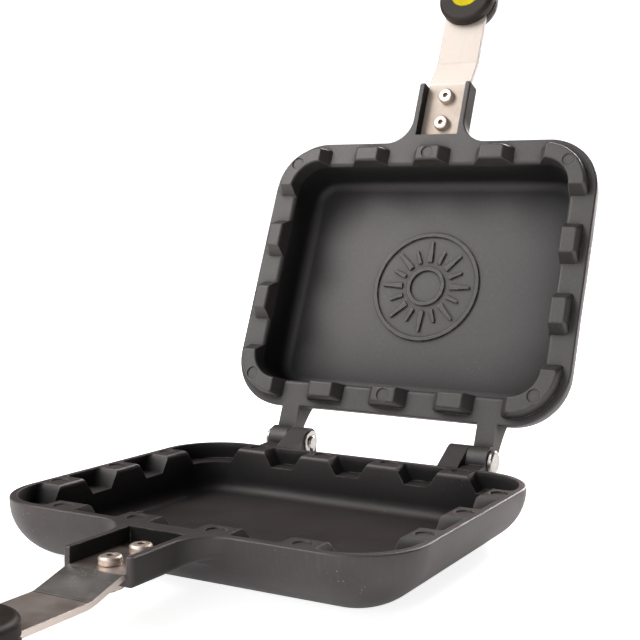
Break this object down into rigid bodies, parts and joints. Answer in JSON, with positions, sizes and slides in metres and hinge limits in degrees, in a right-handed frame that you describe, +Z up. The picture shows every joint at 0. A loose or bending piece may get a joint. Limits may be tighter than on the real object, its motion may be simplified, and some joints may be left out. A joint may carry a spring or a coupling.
{
  "type": "pie iron",
  "caption": "Hinged cast pie iron: two rectangular half shells with interlocking toothed rims, each on a flat steel handle strip with a dark two-part grip, shown open.",
  "frame": {"origin": "centre of the lower pan's flat underside, on the plane the iron stands on", "axes": "+Z up, +X to the right along the hinge line, -Y along the lower handle, +Y towards the hinge"},
  "size_m": [0.145, 0.4533, 0.3188],
  "materials": {
    "casting": "dark non-stick coating, satin",
    "strip": "stainless strip, rolled surface with sheared edges",
    "fastener": "worn bright steel",
    "grip": "soft-touch black",
    "grip_screw": "blackened steel",
    "cap": "plain yellow",
    "pin": "turned steel"
  },
  "bodies": {
    "lower": {"lower_pan": "casting", "lower_handle_strip": "strip", "lower_strip_screws": "fastener", "lower_strip_washers": "fastener", "lower_strip_nuts": "fastener", "lower_grip_inner_shell": "grip", "lower_grip_outer_shell": "grip", "lower_grip_screws": "grip_screw", "lower_grip_cap": "cap", "hinge_pins": "pin", "hinge_pin_clips": "pin"},
    "upper": {"upper_lid": "casting", "upper_handle_strip": "strip", "upper_strip_screws": "fastener", "upper_strip_washers": "fastener", "upper_strip_nuts": "fastener", "upper_grip_inner_shell": "grip", "upper_grip_outer_shell": "grip", "upper_grip_screws": "grip_screw", "upper_grip_cap": "cap"}
  },
  "joints": [
    {"name": "lid_hinge", "type": "hinge", "parent": "lower", "child": "upper", "pos_m": [0, 0.0725, 0.0202], "axis": [1, 0, 0], "range_deg": [0, 111.2]}
  ]
}
